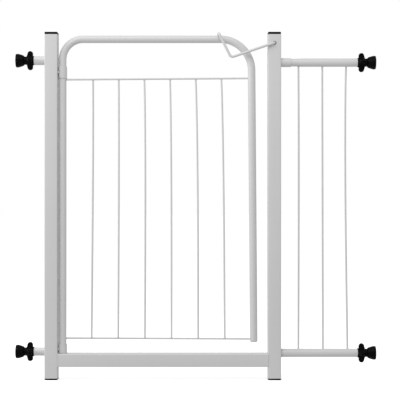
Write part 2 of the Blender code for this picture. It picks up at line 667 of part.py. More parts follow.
def build_wall_feet(panel):
    small, large = TUBE_OD / 2 - TUBE_WALL, SOCKET_OD / 2 - SOCKET_WALL
    build_wall_foot("left_upper", LEFT_TUBE_END, LEFT_UPPER_Z, -1, large, FRAME)
    build_wall_foot("left_lower", LEFT_TUBE_END, LEFT_LOWER_HEIGHT, -1, small, FRAME)
    build_wall_foot("right_upper", RIGHT_TUBE_END, RIGHT_UPPER_Z, 1, small, panel)
    build_wall_foot("right_lower", RIGHT_TUBE_END, RIGHT_LOWER_HEIGHT, 1, small, panel)


# ---- Build ---------------------------------------------------------------------------------------
clear_scene()
PARTS = add_collection("pet_gate")
CUTTERS = add_collection("cutters")
PAINT = add_material("white_paint", (0.80, 0.80, 0.79), 0.35)
PLASTIC = add_material("black_plastic", (0.015, 0.015, 0.016), 0.45)
RUBBER = add_material("black_rubber", (0.03, 0.03, 0.03), 0.8)
STEEL = add_material("zinc_steel", (0.62, 0.63, 0.65), 0.35, 1.0)
FRAME = add_pivot("frame", (0, 0, 0))

build_posts()
build_rail()
build_caps()
build_sleeves()
build_stubs_and_sockets()
build_door()
build_latch()
build_wall_feet(build_extension())
bpy.context.view_layer.update()
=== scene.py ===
"""Looks for a pressure-fit pet gate, built round its packed CAD frame.

Metres, +Z up, the gate's front faces -Y. The file is laid out as an add-on and is run as a script.
"""

import json
import math

import bmesh
import bpy
from bpy.props import FloatProperty, FloatVectorProperty, IntProperty, PointerProperty
from bpy.types import Operator, Panel, PropertyGroup
from mathutils import Matrix, Vector


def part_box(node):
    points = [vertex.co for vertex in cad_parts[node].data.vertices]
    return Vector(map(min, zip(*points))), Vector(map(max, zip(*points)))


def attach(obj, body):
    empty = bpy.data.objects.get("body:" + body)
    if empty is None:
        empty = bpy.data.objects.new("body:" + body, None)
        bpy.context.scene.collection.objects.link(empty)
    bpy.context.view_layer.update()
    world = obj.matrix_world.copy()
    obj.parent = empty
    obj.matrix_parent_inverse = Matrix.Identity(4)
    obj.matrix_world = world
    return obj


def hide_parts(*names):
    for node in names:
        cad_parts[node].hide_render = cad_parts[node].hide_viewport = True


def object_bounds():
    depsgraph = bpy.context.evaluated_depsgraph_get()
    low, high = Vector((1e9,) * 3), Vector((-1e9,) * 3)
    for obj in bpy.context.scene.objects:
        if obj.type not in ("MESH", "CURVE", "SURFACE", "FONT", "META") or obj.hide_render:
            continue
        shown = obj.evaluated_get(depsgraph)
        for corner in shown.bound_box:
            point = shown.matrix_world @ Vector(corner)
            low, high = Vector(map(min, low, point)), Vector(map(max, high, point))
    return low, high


bl_info = {
    "name": "Pet Gate",
    "version": (1, 0, 0),
    "blender": (4, 5, 0),
    "location": "View3D > Sidebar > Pet Gate",
    "description": "Builds the finished pieces of a pressure-fit pet gate on its CAD frame",
    "category": "Object",
}

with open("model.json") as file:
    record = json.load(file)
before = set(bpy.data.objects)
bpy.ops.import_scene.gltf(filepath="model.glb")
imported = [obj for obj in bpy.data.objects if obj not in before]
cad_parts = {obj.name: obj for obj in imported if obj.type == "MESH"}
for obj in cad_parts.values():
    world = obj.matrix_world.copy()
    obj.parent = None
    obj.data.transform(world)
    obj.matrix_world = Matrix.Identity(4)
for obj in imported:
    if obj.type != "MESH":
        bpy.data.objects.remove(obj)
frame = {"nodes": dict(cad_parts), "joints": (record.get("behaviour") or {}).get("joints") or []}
CAD_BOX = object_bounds()

X, Y, Z = Vector((1, 0, 0)), Vector((0, 1, 0)), Vector((0, 0, 1))
ONTO_X = Matrix.Rotation(math.pi / 2, 3, "Y")  # lays local Z along X
FEET = ("left_upper", "left_lower", "right_upper", "right_lower")
SMOOTH_ANGLE = math.radians(40)
ARC_STEP = math.radians(9)

# Fits
END_DEPTH = 0.0008  # points this near a CAD piece's far end belong to its end face
SEAT = 0.0003  # the CAD leaves this gap between pieces that touch
SCREW_ROOM = 0.00035  # gap round a screw in its plug, knob and foot

# Posts and side tubes
SCREW_HOLE = 0.0057  # radius of the left post's holes for the screws
SIDE_WALL = 0.0010  # wall of the stubs and sockets
SLEEVE_RIM = 0.45  # rounding of a sleeve's rims, as a share of its wall
RAIL_BEAD, SLEEVE_BEAD = 0.62, 1.15  # beads there, as a share of the usual bead
CAP_CHAMFER = 0.0003  # under a cap's rim
CAP_CORNER = 0.0012  # corner radius of a cap's plug and the least one of its face
CAP_SHRINK = 0.4  # how fast a cap's corner radius shrinks over its rounded edge
CAP_BORDER = 0.0015  # flat border inside the rounded edge

# Ends of the door's tube
END_PLUG = 0.8  # radius of a plug in the tube, as a share of the tube's own
TIP_DEPTH = 0.010  # plug inside the free leg
TIP_SHOWN = 0.004  # rounded end below the free leg's tube
GLIDE_GAP = 0.0002

# Wall feet
FLANGE_GAP = 0.00005
PLUG_STEP = 0.0030  # from the flange's rim to the plug inside the tube
PLUG_EASE = 0.0005
KNOB_EASE = (0.0006, 0.002, 0.008, 0.0008, 0.0004)  # back, neck, waist, front and bore
LOBE_ROOT = 0.002  # how far the lobes start outside the bore
LOBE_SLICES = ((-1.0, 0.0012), (-0.6, 0.0), (0.6, 0.0), (1.0, 0.0012))  # place in a half, shrink
THREAD_STEP = 0.0003  # distance between a screw mesh's rings
THREAD_FADE = 0.0012  # the thread fades out over this length at both ends
FOOT_RIM, FOOT_RECESS = 0.0022, 0.0008  # flat rim round a foot's recessed face
PAD_RINGS = (0.80, 0.60, 0.40)  # places of a pad's grooves, as a share of its radius
PAD_GROOVE = 0.0016  # width of a groove


# ---- Reading the frame ----
def middle(node):
    low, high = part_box(node)
    return (Vector(low) + Vector(high)) / 2


def span(node):
    low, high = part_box(node)
    return Vector(high) - Vector(low)


def end_middle(node, axis, side):
    """Middle of a CAD piece's end face along an axis: side -1 is its low end, 1 its high end."""
    places = [v.co for v in frame["nodes"][node].data.vertices]
    end = max(p[axis] * side for p in places)
    face = [p for p in places if end - p[axis] * side < END_DEPTH]
    return Vector([(min(p[i] for p in face) + max(p[i] for p in face)) / 2 for i in range(3)])


def joint(name):
    return next(j for j in frame["joints"] if j["name"] == name)


def tube_end(foot):
    """Where a wall foot's tube ends, and the direction from there to the wall."""
    turn = joint(f"{foot}_knob_turn")
    return Vector(turn["pos_m"]), Vector(turn["axis"])


def screw_bore(foot):
    """Radius of the hole that a foot's screw runs through."""
    return span(f"{foot}_screw").y / 2 + SCREW_ROOM


# ---- Sizes and colours ----
def length(name, description, default):
    return FloatProperty(name=name, description=description, default=default, min=0.0,
                         subtype="DISTANCE", unit="LENGTH", precision=4)


def colour(name, description, default):
    return FloatVectorProperty(name=name, description=description, default=default, size=3,
                               subtype="COLOR", min=0.0, max=1.0)


def share(name, description, default):
    return FloatProperty(name=name, description=description, default=default, min=0.0, max=1.0,
                         subtype="FACTOR")


def angle(name, description, degrees):
    return FloatProperty(name=name, description=description, default=math.radians(degrees),
                         subtype="ANGLE", unit="ROTATION")


def number(name, description, default, kind="NONE"):
    return FloatProperty(name=name, description=description, default=default, min=0.0, subtype=kind)


def bows(name, description, default):
    return FloatVectorProperty(name=name, description=description, default=default,
                               size=len(default), unit="LENGTH", precision=4)


class GatePaint(PropertyGroup):
    """White powder coat on every steel tube and wire."""

    shade: colour("Colour", "Powder coat's own colour", (0.660, 0.660, 0.660))
    thin: colour("Thin edge", "Colour where the coat is thinnest", (0.540, 0.542, 0.545))
    gloss: share("Roughness", "Roughness of the cured coat", 0.36)
    peel: length("Orange peel", "Size of the coat's fine ripple", 0.0022)
    peel_depth: length("Orange peel depth", "Height of the coat's fine ripple", 0.00002)


class GatePlastic(PropertyGroup):
    """Black moulded plastic of the caps, plugs, knobs and feet."""

    shade: colour("Colour", "Plastic's own colour", (0.0008, 0.0008, 0.0009))
    rubbed: colour("Rubbed", "Colour where hands have rubbed the grain", (0.0060, 0.0060, 0.0063))
    gloss: share("Roughness", "Roughness of the moulded face", 0.42)
    shine: share("Shine", "Specular level of the moulded face", 0.060)
    grain: length("Grain", "Size of the moulded grain", 0.0006)
    grain_depth: length("Grain depth", "Height of the moulded grain", 0.00003)


class GateRubber(PropertyGroup):
    """Black rubber of the pads that press on the wall."""

    shade: colour("Colour", "Rubber's own colour", (0.0050, 0.0050, 0.0050))
    bloom: colour("Bloom", "Grey bloom on the rubber", (0.0110, 0.0110, 0.0107))
    gloss: share("Roughness", "Roughness of the rubber", 0.82)
    shine: share("Shine", "Specular level of the rubber", 0.12)


class GateSteel(PropertyGroup):
    """Zinc plate on the screws and the latch's washer."""

    shade: colour("Colour", "Plate's own colour", (0.62, 0.64, 0.67))
    dull: colour("Dull plate", "Colour where the plate has dulled", (0.42, 0.43, 0.44))
    gloss: share("Roughness", "Roughness of the bright plate", 0.27)


class GateTubes(PropertyGroup):
    """Square and round tube of the frame and the extension panel."""

    corner: length("Corner", "Outer corner radius of the square tube", 0.0022)
    wall: length("Wall", "Wall of every tube", 0.0012)
    mouth: length("Mouth edge", "Rounding of a cut tube's rim", 0.0003)
    cap_flange: length("Cap flange", "Part of a top cap that shows", 0.005)
    foot_flange: length("Bottom cap flange", "Part of a bottom cap that shows", 0.0034)
    cap_edge: length("Cap edge", "Rounding of a cap's rim", 0.0013)
    latch_hole: length("Latch hole", "Diameter of the latch's hole in the right post", 0.0084)
    neck: length("Neck", "Diameter of the extension tubes' reduced ends", 0.0176)
    neck_shown: length("Neck shown", "Reduced length outside the upper socket", 0.019)
    shoulder: length("Shoulder", "Taper between a tube and its neck", 0.003)


class GateWelds(PropertyGroup):
    """Weld beads under the paint."""

    bead: length("Bead", "Radius of a bead along a seam", 0.0013)
    ring: length("Ring", "Radius of the bead round a tube", 0.0011)
    ripple: length("Ripple", "Distance from one ripple to the next", 0.0019)
    ripple_share: share("Ripple depth", "Depth of a ripple, as a share of the bead", 0.16)
    flare: length("Flare", "Extra radius of a wire where it is fused to another piece", 0.0008)
    flare_reach: length("Flare reach", "How far up a wire the fused metal climbs", 0.0022)


class GateWires(PropertyGroup):
    """Upright wires, pulled a little out of line by their welds."""

    door_bow: bows("Door bow", "Sideways bow of each door wire",
                   (0.0010, 0.0007, 0.0018, 0.0016, 0.0023, 0.0019))
    extension_bow: bows("Extension bow", "Bow of the panel's wires", (0.0008, 0.0, -0.0030))
    bow_rise: number("Bow rise", "Below 1, the bow is widest above the middle", 0.7)


class GateDoor(PropertyGroup):
    """Bent tube, hinge sleeves and ends of the door."""

    hinge_bend: length("Hinge bend", "Bend radius over the hinge leg", 0.0465)
    free_bend: length("Free bend", "Bend radius over the free leg", 0.0717)
    splay: angle("Splay", "How far the free leg leans outwards", math.degrees(math.atan(0.0078)))
    sleeve_play: length("Sleeve play", "Gap between the leg and its sleeves", 0.0004)
    tip_edge: length("Tip edge", "Rounding of the free leg's plug", 0.0032)


class GateLatch(PropertyGroup):
    """Bent rod that drops over the door's top tube."""

    arm: length("Arm", "Pivot to the corner between the arms", 0.1055)
    slope: angle("Slope", "Fall of the long arm towards the door", 18.8)
    lean: angle("Lean", "Lean of the short arm from upright", 26.5)
    lift: length("Lift", "Gap between the rod and the tube below it", 0.0003)
    back: length("Back gap", "Gap between the tube and the tail behind it", 0.0024)
    tail: length("Tail", "Length of the tail behind the tube", 0.012)
    stem_bend: length("Stem bend", "Bend radius between the stem and the long arm", 0.005)
    corner_bend: length("Corner bend", "Bend radius between the arms", 0.008)
    hook_bend: length("Hook bend", "Bend radii over the tube", 0.006)


class GateFeet(PropertyGroup):
    """Plug, knob, screw, foot and pad of a wall foot, by distance from the tube's end."""

    flange_edge: length("Flange edge", "Rounding of a tube plug's flange", 0.0006)
    knob_start: length("Knob start", "Tube's end to the knob", 0.0024)
    hub: length("Hub", "Diameter of the knob's hub", 0.0193)
    barrel_waist: length("Waist", "How much the barrel narrows at its middle", 0.0005)
    lobe_span: length("Lobe span", "Across two opposite lobes", 0.0438)
    lobe_end: length("Lobe end", "Rounded end of a lobe, along the screw", 0.0127)
    lobe_back: length("Lobe back", "Knob's back to the lobe's end", 0.0002)
    lobe_base: length("Lobe base", "Lobe's root along the screw", 0.0146)
    lobe_thickness: length("Lobe thickness", "Thickness of a lobe", 0.0076)
    knob_grain: length("Knob fineness", "Edge of the cells that the knob is blended from", 0.00045)
    foot_back: length("Foot back", "Diameter of the foot's narrow end", 0.0208)
    foot_edge: length("Foot edge", "Rounding of the foot's back edge", 0.0010)
    lip: length("Foot lip", "Straight rim at the foot's face", 0.0036)
    flare: number("Flare", "Below 1, the foot widens most near its back", 0.65)
    groove: length("Pad groove", "Depth of the grooves in a pad's face", 0.0006)
    lead: length("Lead", "Travel of the screw for one turn of its knob", 0.004)
    starts: IntProperty(name="Starts", description="Separate threads on a screw", default=2, min=1)
    thread: length("Thread depth", "Height of the screw's thread", 0.0009)


class GateStage(PropertyGroup):
    """Camera, floor and studio light."""

    eye: FloatVectorProperty(name="Eye", description="Where the camera stands", size=3,
                             default=(0.0096, -2.755, 0.4117), subtype="TRANSLATION", unit="LENGTH")
    view_width: length("View width", "Width of the view at the gate", 0.9182)
    sky: number("Sky", "Brightness of the studio from above", 0.70)
    horizon: number("Horizon", "Brightness at eye level", 0.59)
    ground: number("Ground", "Brightness from below", 0.66)
    hinge_side: number("Hinge side", "Extra brightness from the hinge side", 0.08)
    softbox: number("Softbox", "Power of the overhead light", 18.0, "POWER")
    side_lamp: number("Side lamp", "Power of the lamp beyond the hinge side", 9.0, "POWER")
    floor_shade: colour("Floor", "Floor's colour", (0.93, 0.93, 0.93))
    floor_glow: share("Floor glow", "Light that the floor gives back by itself", 0.42)


GROUPS = {
    "gate_paint": GatePaint,
    "gate_plastic": GatePlastic,
    "gate_rubber": GateRubber,
    "gate_steel": GateSteel,
    "gate_tubes": GateTubes,
    "gate_welds": GateWelds,
    "gate_wires": GateWires,
    "gate_door": GateDoor,
    "gate_latch": GateLatch,
    "gate_feet": GateFeet,
    "gate_stage": GateStage,
}


# ---- Materials ----
class Wire:
    """One socket of a material's nodes. Arithmetic on it adds Math nodes to the same tree."""

    def __init__(self, tree, socket=None):
        self.tree = tree
        self.socket = socket

    def node(self, kind, settings=None, sockets=None):
        """Adds a node: its settings come first, then the values or links of its sockets."""
        made = self.tree.nodes.new(kind)
        for key, value in (settings or {}).items():
            setattr(made, key, value)
        for key, value in (sockets or {}).items():
            self.feed(made, key, value)
        first = next((s for s in made.outputs if s.enabled), None)
        return Wire(self.tree, first)

    def feed(self, made, key, value):
        if isinstance(key, int):
            socket = made.inputs[key]
        else:
            socket = next(s for s in made.inputs if key in (s.identifier, s.name) and s.enabled)
        if isinstance(value, Wire):
            self.tree.links.new(value.socket, socket)
        elif hasattr(socket.default_value, "__len__") and len(socket.default_value) == 4:
            socket.default_value = (*value, 1.0)
        else:
            socket.default_value = value

    def output(self, name):
        return Wire(self.tree, self.socket.node.outputs[name])

    def maths(self, operation, *values):
        return self.node("ShaderNodeMath", {"operation": operation}, dict(enumerate(values)))

    def __add__(self, other):
        return self.maths("ADD", self, other)

    def __sub__(self, other):
        return self.maths("SUBTRACT", self, other)

    def __rsub__(self, other):
        return self.maths("SUBTRACT", other, self)

    def __mul__(self, other):
        return self.maths("MULTIPLY", self, other)

    __radd__ = __add__
    __rmul__ = __mul__

    def clamped(self):
        return self.maths("MINIMUM", self.maths("MAXIMUM", self, 0.0), 1.0)

    def between(self, low, high):
        """This value stretched so that low becomes 0 and high becomes 1."""
        return ((self - low) * (1.0 / (high - low))).clamped()

    def mix(self, first, second):
        """From the first colour to the second as this value goes from 0 to 1."""
        sockets = {"Factor_Float": self, "A_Color": first, "B_Color": second}
        return self.node("ShaderNodeMix", {"data_type": "RGBA"}, sockets)

    def noise(self, size, detail=2.0, roughness=0.5):
        """Smooth noise whose blobs are about size metres across."""
        sockets = {"Vector": self, "Scale": 1.0 / size, "Detail": detail, "Roughness": roughness}
        return self.node("ShaderNodeTexNoise", {"noise_dimensions": "3D"}, sockets)

    def cells(self, size, feature="F1"):
        sockets = {"Vector": self, "Scale": 1.0 / size}
        return self.node("ShaderNodeTexVoronoi", {"feature": feature}, sockets)

    def stretched(self, x, y, z):
        sockets = {0: self, 1: (x, y, z)}
        return self.node("ShaderNodeVectorMath", {"operation": "MULTIPLY"}, sockets)


def new_material(name, constants):
    """A material with its constant sockets set, and the Wire that its textures start from."""
    material = bpy.data.materials.new(name)
    material.use_nodes = True
    tree = material.node_tree
    shader = tree.nodes["Principled BSDF"]
    start = Wire(tree)
    for key, value in constants.items():
        start.feed(shader, key, value)
    return material, shader, start.node("ShaderNodeTexCoord").output("Object")


def bumped(height, depth, under=None):
    sockets = {"Height": height, "Distance": depth, "Strength": 1.0}
    if under:
        sockets["Normal"] = under
    return height.node("ShaderNodeBump", None, sockets)


def powder_coat(settings):
    """Satin white coat: fine orange peel, cloudy film thickness, thin spots and a few dust nibs."""
    constants = {"Metallic": 0.0, "Specular IOR Level": 0.5, "Coat Roughness": 0.25}
    material, shader, place = new_material("White powder coat", constants)
    cloud = place.noise(0.12, 3.0)
    film = place.noise(0.018, 4.0, 0.6)
    peel = place.noise(settings.peel, 2.0, 0.55)
    fine = place.noise(settings.peel / 5, 1.0)
    nibs = place.cells(0.016).between(0.055, 0.02)
    worn = film.between(0.60, 0.80) * cloud.between(0.40, 0.62)
    thin = worn * 0.35 + nibs * 0.30 + fine.between(0.62, 0.80) * 0.10
    duller = tuple(c * 0.975 for c in settings.shade)
    cloudy = cloud.between(0.30, 0.70).mix(duller, settings.shade)
    place.feed(shader, "Base Color", thin.clamped().mix(cloudy, settings.thin))
    rough = settings.gloss + (film - 0.5) * 0.16 + (peel - 0.5) * 0.06 + worn * 0.12
    place.feed(shader, "Roughness", rough.clamped())
    rippled = bumped(peel + fine * 0.15, settings.peel_depth)
    place.feed(shader, "Normal", bumped(nibs, settings.peel_depth * 2, rippled))
    return material


def moulded_plastic(settings):
    """Black moulding with a spark-eroded grain, faint flow streaks and rubbed high spots."""
    constants = {"Metallic": 0.0, "Specular IOR Level": settings.shine}
    material, shader, place = new_material("Black moulded plastic", constants)
    grain = place.noise(settings.grain, 3.0, 0.6)
    pits = place.cells(settings.grain * 1.4, "SMOOTH_F1")
    flow = place.stretched(1.0, 0.35, 0.35).noise(0.007, 2.0)
    rub = place.noise(0.010, 3.0, 0.6).between(0.56, 0.74)
    pale = (rub * 0.6 + grain * 0.25).clamped()
    place.feed(shader, "Base Color", pale.mix(settings.shade, settings.rubbed))
    rough = settings.gloss + (grain - 0.5) * 0.18 + (flow - 0.5) * 0.14 - rub * 0.06
    place.feed(shader, "Roughness", rough.clamped())
    place.feed(shader, "Normal", bumped(grain + pits * 0.5, settings.grain_depth))
    return material


def pad_rubber(settings):
    """Matt black rubber with a chalky bloom and a pebbled face."""
    constants = {"Metallic": 0.0, "Specular IOR Level": settings.shine}
    material, shader, place = new_material("Black pad rubber", constants)
    pebble = place.cells(0.0009, "SMOOTH_F1")
    chalk = place.noise(0.006, 4.0, 0.65)
    dust = place.noise(0.0005, 2.0)
    cover = chalk.between(0.50, 0.75) * 0.5 + dust.between(0.60, 0.80) * 0.25
    place.feed(shader, "Base Color", cover.clamped().mix(settings.shade, settings.bloom))
    place.feed(shader, "Roughness", (settings.gloss + (chalk - 0.5) * 0.20).clamped())
    place.feed(shader, "Normal", bumped(pebble + dust * 0.4, 0.00006))
    return material


def zinc_plate(settings):
    """Bright zinc on rolled steel: small spangle, lengthwise drawing marks and dull patches."""
    constants = {"Metallic": 1.0, "Anisotropic": 0.35}
    material, shader, place = new_material("Zinc-plated steel", constants)
    spangle = place.cells(0.0022).output("Color")
    tone = spangle.node("ShaderNodeSeparateColor", None, {0: spangle})
    marks = place.stretched(0.06, 1.0, 1.0).noise(0.0005, 2.0)
    patch = place.noise(0.005, 4.0, 0.65)
    dull = patch.between(0.52, 0.72)
    dark = (dull * 0.7 + tone * 0.18).clamped()
    place.feed(shader, "Base Color", dark.mix(settings.shade, settings.dull))
    rough = settings.gloss + (tone - 0.5) * 0.08 + marks * 0.10 + dull * 0.16
    place.feed(shader, "Roughness", rough.clamped())
    place.feed(shader, "Normal", bumped(marks + patch * 0.5, 0.00002))
    return material


FINISHES = {
    "white_paint": (powder_coat, "gate_paint"),
    "black_plastic": (moulded_plastic, "gate_plastic"),
    "black_rubber": (pad_rubber, "gate_rubber"),
    "zinc_steel": (zinc_plate, "gate_steel"),
}
made_finishes = {}


def finish_of(slot):
    if slot not in made_finishes:
        maker, group = FINISHES[slot]
        made_finishes[slot] = maker(getattr(bpy.context.scene, group))
    return made_finishes[slot]


# ---- Mesh helpers ----
def moved(bm, matrix):
    bmesh.ops.transform(bm, matrix=matrix, verts=bm.verts)
    return bm


def stood(place, along):
    """The matrix that stands local Z on a place, pointing along a direction."""
    return Matrix.Translation(place) @ Z.rotation_difference(along).to_matrix().to_4x4()


def skin(rings, loop=False, capped=False):
    """A mesh through rings of points. A loop joins the last ring to the first."""
    bm = bmesh.new()
    rows = [[bm.verts.new(p) for p in ring] for ring in rings]
    pairs = list(zip(rows, rows[1:]))
    if loop:
        pairs.append((rows[-1], rows[0]))
    for near, far in pairs:
        for i in range(len(near)):
            j = (i + 1) % len(near)
            bm.faces.new((near[i], near[j], far[j], far[i]))
    if capped:
        bm.faces.new(rows[0])
        bm.faces.new(rows[-1])
    bmesh.ops.recalc_face_normals(bm, faces=bm.faces)
    return bm


def arc_corner(before, corner, after, radius, step):
    """Points of the arc that rounds one corner of a line."""
    back = (before - corner).normalized()
    ahead = (after - corner).normalized()
    opening = back.angle(ahead)
    axis = back.cross(ahead).normalized()
    centre = corner + (back + ahead).normalized() * radius / math.sin(opening / 2)
    start = corner + back * radius / math.tan(opening / 2) - centre
    turn = math.pi - opening
    steps = max(2, math.ceil(turn / step))
    return [centre + Matrix.Rotation(-turn * i / steps, 3, axis) @ start for i in range(steps + 1)]


def rounded_line(corners, closed=False, step=ARC_STEP):
    """A line through (point, radius) corners with each corner rounded to its radius."""
    places = [Vector(p) for p, _ in corners]
    count = len(places)
    line = []
    for i, (_, radius) in enumerate(corners):
        if radius > 0 and (closed or 0 < i < count - 1):
            line += arc_corner(places[i - 1], places[i], places[(i + 1) % count], radius, step)
        else:
            line.append(places[i])
    return line


def turned(outline, place, along, sides=48, closed=True):
    """A mesh of the outline turned about a line. Outline corners are (radius, distance, rounding)."""
    corners = [((r, 0.0, d), rounding) for r, d, rounding in outline]
    line = rounded_line(corners, closed)
    bm = bmesh.new()
    row = [bm.verts.new(p) for p in line]
    edges = [bm.edges.new(pair) for pair in zip(row, row[1:])]
    if closed:
        edges.append(bm.edges.new((row[-1], row[0])))
    bmesh.ops.spin(bm, geom=row + edges, cent=(0, 0, 0), axis=(0, 0, 1), dvec=(0, 0, 0),
                   angle=math.tau, steps=sides, use_merge=True, use_duplicate=False)
    bmesh.ops.remove_doubles(bm, verts=bm.verts, dist=0.000002)
    bmesh.ops.recalc_face_normals(bm, faces=bm.faces)
    return moved(bm, stood(place, along))


def swept(points, radii, sides=24, loop=False):
    """A round rod along the points. radii is one radius, or one for each point."""
    if not hasattr(radii, "__len__"):
        radii = [radii] * len(points)
    count = len(points)
    normal = None
    rings = []
    for i, (point, radius) in enumerate(zip(points, radii)):
        if loop:
            tangent = points[(i + 1) % count] - points[i - 1]
        else:
            tangent = points[min(i + 1, count - 1)] - points[max(i - 1, 0)]
        tangent.normalize()
        normal = tangent.orthogonal() if normal is None else normal
        normal = (normal - tangent * normal.dot(tangent)).normalized()
        across = tangent.cross(normal)
        turns = [math.tau * k / sides for k in range(sides)]
        rings.append([point + (normal * math.cos(t) + across * math.sin(t)) * radius for t in turns])
    return skin(rings, loop, not loop)


def eased_ends(points, radius, edge):
    """The points and their radii, with both ends rounded over by edge."""
    steps = 5
    turns = [math.pi / 2 * i / steps for i in reversed(range(steps))]
    ends = []
    for end, near in ((points[0], points[1]), (points[-1], points[-2])):
        inwards = (near - end).normalized()
        ends.append([(end + inwards * edge * (1 - math.sin(t)), radius - edge * (1 - math.cos(t)))
                     for t in turns])
    line = ends[0] + [(p, radius) for p in points[1:-1]] + ends[1][::-1]
    return [p for p, _ in line], [r for _, r in line]


def rippled(points, radius, welds, loop=False):
    """Radii of a weld bead: an even ripple along it, and ends that fade out."""
    lengths = [0.0]
    for a, b in zip(points, points[1:]):
        lengths.append(lengths[-1] + (b - a).length)
    total = lengths[-1] + ((points[0] - points[-1]).length if loop else 0.0)
    count = max(2, round(total / welds.ripple))
    radii = []
    for run in lengths:
        wave = abs(math.sin(math.pi * count * run / total))
        swell = 1.0 - welds.ripple_share * (1.0 - wave)
        fade = 1.0 if loop else min(1.0, 0.45 + min(run, total - run) / (1.6 * radius))
        radii.append(radius * swell * fade)
    return radii


def straight(start, end, steps):
    return [start.lerp(end, i / steps) for i in range(steps + 1)]


def square_ring(side, corner, height, segments=8):
    """Points round a square with rounded corners, at a height."""
    reach = side / 2 - corner
    ring = []
    for quarter in range(4):
        centre = Matrix.Rotation(math.tau * quarter / 4, 3, "Z") @ Vector((reach, reach, 0))
        for k in range(segments + 1):
            turn = math.tau * (quarter + k / segments) / 4
            ring.append(centre + Vector((math.cos(turn) * corner, math.sin(turn) * corner, height)))
    return ring


def square_tube(side, total, tubes):
    """Hollow square tube along local Z, centred, with softened rims."""
    corner, wall, mouth = tubes.corner, tubes.wall, tubes.mouth
    rings = []
    for end in (-1, 1):
        height = end * total / 2
        rims = [
            square_ring(side - 2 * wall, corner - wall, height),
            square_ring(side - 2 * mouth, corner - mouth, height),
            square_ring(side, corner, height - end * mouth),
        ]
        rings += rims if end < 0 else rims[::-1]
    return skin(rings, loop=True)


def softened(mesh):
    mesh.shade_smooth()
    mesh.set_sharp_from_angle(angle=SMOOTH_ANGLE)
    return mesh


def to_object(name, bm):
    mesh = bpy.data.meshes.new(name)
    bm.to_mesh(mesh)
    bm.free()
    return bpy.data.objects.new(name, softened(mesh))


def pieces_collection():
    name = "Pet gate pieces"
    found = bpy.data.collections.get(name)
    if found is None:
        found = bpy.data.collections.new(name)
        bpy.context.scene.collection.children.link(found)
    return found


def add_piece(name, source, slot, body, nodes=()):
    """Puts a finished piece in the scene: its material, its CAD body and the nodes it stands for."""
    obj = source if isinstance(source, bpy.types.Object) else to_object(name, source)
    obj.name = name
    if not obj.data.materials:
        obj.data.materials.append(finish_of(slot))
    pieces_collection().objects.link(obj)
    if nodes:
        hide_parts(*nodes)
    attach(obj, body)


def merged(meshes):
    """Several meshes as one, each still closed on its own."""
    whole = bmesh.new()
    for bm in meshes:
        part = bpy.data.meshes.new("part")
        bm.to_mesh(part)
        bm.free()
        whole.from_mesh(part)
        bpy.data.meshes.remove(part)
    return whole


def shaped(blank):
    """The blank's mesh as its modifiers leave it. The blank itself is thrown away."""
    bpy.context.scene.collection.objects.link(blank)
    bpy.context.view_layer.update()
    graph = bpy.context.evaluated_depsgraph_get()
    mesh = bpy.data.meshes.new_from_object(blank.evaluated_get(graph))
    bpy.data.objects.remove(blank)
    return mesh


def bored(bm, holes):
    """The mesh with round holes through it. Each hole is (place, direction, radius, depth)."""
    blank = to_object("bored", bm)
    drills = []
    for place, along, radius, depth in holes:
        outline = [(0, -depth / 2, 0), (radius, -depth / 2, 0), (radius, depth / 2, 0),
                   (0, depth / 2, 0)]
        drills.append(to_object("drill", turned(outline, place, along, 40, closed=False)))
        bpy.context.scene.collection.objects.link(drills[-1])
        cut = blank.modifiers.new("Hole", "BOOLEAN")
        cut.object = drills[-1]
        cut.operation = "DIFFERENCE"
    made = bpy.data.objects.new("bored", softened(shaped(blank)))
    for drill in drills:
        bpy.data.objects.remove(drill)
    return made


# ---- Frame ----
class GATE_OT_posts(Operator):
    """Two square posts, with the latch's hole and the tubes' holes"""

    bl_idname = "gate.posts"
    bl_label = "Posts"

    def execute(self, context):
        tubes = context.scene.gate_tubes
        wall = 4 * tubes.wall
        for side in ("left", "right"):
            node = f"{side}_post"
            size, centre = span(node), middle(node)
            if side == "left":
                x = centre.x - size.x / 2
                holes = [(Vector((x, 0, tube_end(foot)[0].z)), X, SCREW_HOLE, wall)
                         for foot in FEET[:2]]
            else:
                pivot = Vector(joint("latch_lift")["pos_m"])
                mouth = Vector((centre.x + size.x / 2, 0, middle("right_lower_collar").z))
                holes = [(pivot, Y, tubes.latch_hole / 2, 2 * size.y),
                         (mouth, X, tubes.neck / 2 + SEAT, wall)]
            bm = moved(square_tube(size.x, size.z, tubes), Matrix.Translation(centre))
            add_piece(f"{side}_post_tube", bored(bm, holes), "white_paint", "frame", [node])
        return {"FINISHED"}


class GATE_OT_rail(Operator):
    """Bottom rail and the weld seams at its two ends"""

    bl_idname = "gate.rail"
    bl_label = "Bottom rail"

    def execute(self, context):
        tubes, welds = context.scene.gate_tubes, context.scene.gate_welds
        size, centre = span("bottom_rail"), middle("bottom_rail")
        place = Matrix.Translation(centre) @ ONTO_X.to_4x4()
        bm = moved(square_tube(size.z, size.x + 2 * SEAT, tubes), place)
        add_piece("bottom_rail_tube", bm, "white_paint", "frame", ["bottom_rail"])
        for side, label in ((-1, "left"), (1, "right")):
            end = centre + X * side * (size.x / 2 + SEAT)
            ring = [end + ONTO_X @ p for p in square_ring(size.z, tubes.corner, 0.0)]
            path = []
            for a, b in zip(ring, ring[1:] + ring[:1]):
                steps = max(1, round((b - a).length / (welds.ripple / 4)))
                path += straight(a, b, steps)[:-1]
            radii = rippled(path, welds.bead * RAIL_BEAD, welds, loop=True)
            bead = swept(path, radii, 12, loop=True)
            add_piece(f"rail_{label}_weld", bead, "white_paint", "frame")
        return {"FINISHED"}


